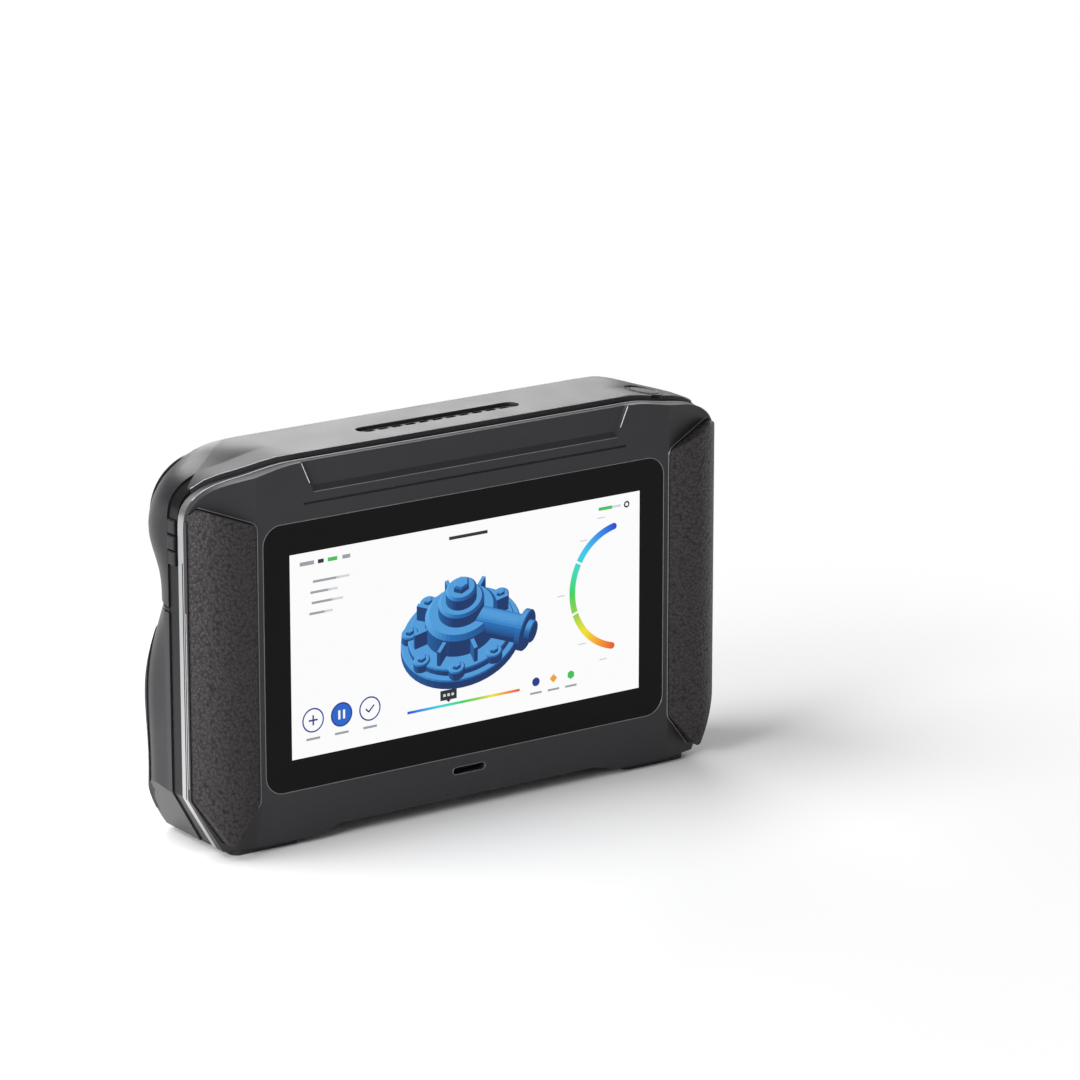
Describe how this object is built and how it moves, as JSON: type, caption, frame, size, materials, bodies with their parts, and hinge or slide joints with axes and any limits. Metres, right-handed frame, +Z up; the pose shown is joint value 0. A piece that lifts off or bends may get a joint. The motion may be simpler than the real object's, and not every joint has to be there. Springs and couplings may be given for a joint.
{
  "type": "handheld three-d scanner",
  "caption": "Handheld three-d scanner with a touch screen in front, rubber grips, and a bar of round-ended camera pods and light windows behind.",
  "frame": {"origin": "bottom centre of the bounding box, under the soles of the feet", "axes": "+X to the right seen from the screen side, +Y from the screen towards the sensors, +Z up"},
  "size_m": [0.2065, 0.0514, 0.1285],
  "materials": {
    "body_dark": "satin",
    "body_top": "satin",
    "trim_silver": "satin",
    "glass": "polished",
    "screen": "smooth",
    "keys": "satin",
    "gloss_black": "polished",
    "optics": "polished",
    "board": "matte",
    "cast_metal": "cast",
    "metal": "brushed",
    "battery": "matte",
    "rubber": "pebbled",
    "lamp": "smooth",
    "barrel": "satin",
    "lens": "polished"
  },
  "bodies": {
    "body": {"back_cover": "body_dark", "battery_pack": "battery", "board_screws": "metal", "camera_barrel_left": "barrel", "camera_barrel_right": "barrel", "camera_lens_left": "lens", "camera_lens_right": "lens", "camera_module_left": "metal", "camera_module_right": "metal", "centre_window": "gloss_black", "charging_port": "metal", "colour_camera_left": "barrel", "colour_camera_right": "barrel", "display_glass": "glass", "display_panel": "screen", "emitters_left": "optics", "emitters_right": "optics", "fan_frame": "gloss_black", "flash_modules": "optics", "foot_left": "rubber", "foot_right": "rubber", "front_cover": "body_dark", "front_grip_left": "rubber", "front_grip_right": "rubber", "head_housing": "body_dark", "heat_sink": "cast_metal", "key_board": "board", "laser_modules": "optics", "led_board_left": "board", "led_board_right": "board", "led_chips_left": "lamp", "led_chips_right": "lamp", "main_board": "board", "middle_frame": "body_dark", "optical_frame": "cast_metal", "pod_cover_left": "gloss_black", "pod_cover_right": "gloss_black", "pod_housing_left": "gloss_black", "pod_housing_right": "gloss_black", "power_collar": "trim_silver", "power_switch": "metal", "range_sensor": "optics", "rear_grip_left": "rubber", "rear_grip_right": "rubber", "sensor_board": "board", "speaker": "metal", "top_cover": "body_top", "top_vent_insert": "body_dark", "trigger_board": "board", "trim_ring": "trim_silver", "vent_grille": "body_dark", "window_rim": "trim_silver"},
    "power_button": {"power_button": "body_dark"},
    "side_key_upper": {"side_key_upper": "keys"},
    "side_key_middle": {"side_key_middle": "keys"},
    "side_key_lower": {"side_key_lower": "keys"},
    "trigger_button": {"trigger_button": "keys"},
    "fan_rotor": {"fan_rotor": "gloss_black"}
  },
  "joints": [
    {"name": "power_press", "type": "slide", "parent": "body", "child": "power_button", "axis": [-0.1944, 0, -0.9809], "range_m": [0, 0.0008], "stiffness_N_per_m": 600, "springref_m": -0.0005},
    {"name": "side_key_upper_press", "type": "slide", "parent": "body", "child": "side_key_upper", "axis": [1, 0, 0], "range_m": [0, 0.0008], "stiffness_N_per_m": 600, "springref_m": -0.0005},
    {"name": "side_key_middle_press", "type": "slide", "parent": "body", "child": "side_key_middle", "axis": [1, 0, 0], "range_m": [0, 0.0008], "stiffness_N_per_m": 600, "springref_m": -0.0005},
    {"name": "side_key_lower_press", "type": "slide", "parent": "body", "child": "side_key_lower", "axis": [1, 0, 0], "range_m": [0, 0.0008], "stiffness_N_per_m": 600, "springref_m": -0.0005},
    {"name": "trigger_press", "type": "slide", "parent": "body", "child": "trigger_button", "axis": [-1, 0, 0], "range_m": [0, 0.0006], "stiffness_N_per_m": 600, "springref_m": -0.0005},
    {"name": "fan_spin", "type": "hinge", "parent": "body", "child": "fan_rotor", "pos_m": [0, 0.00798, 0.0392], "axis": [0, 1, 0], "continuous": true}
  ]
}
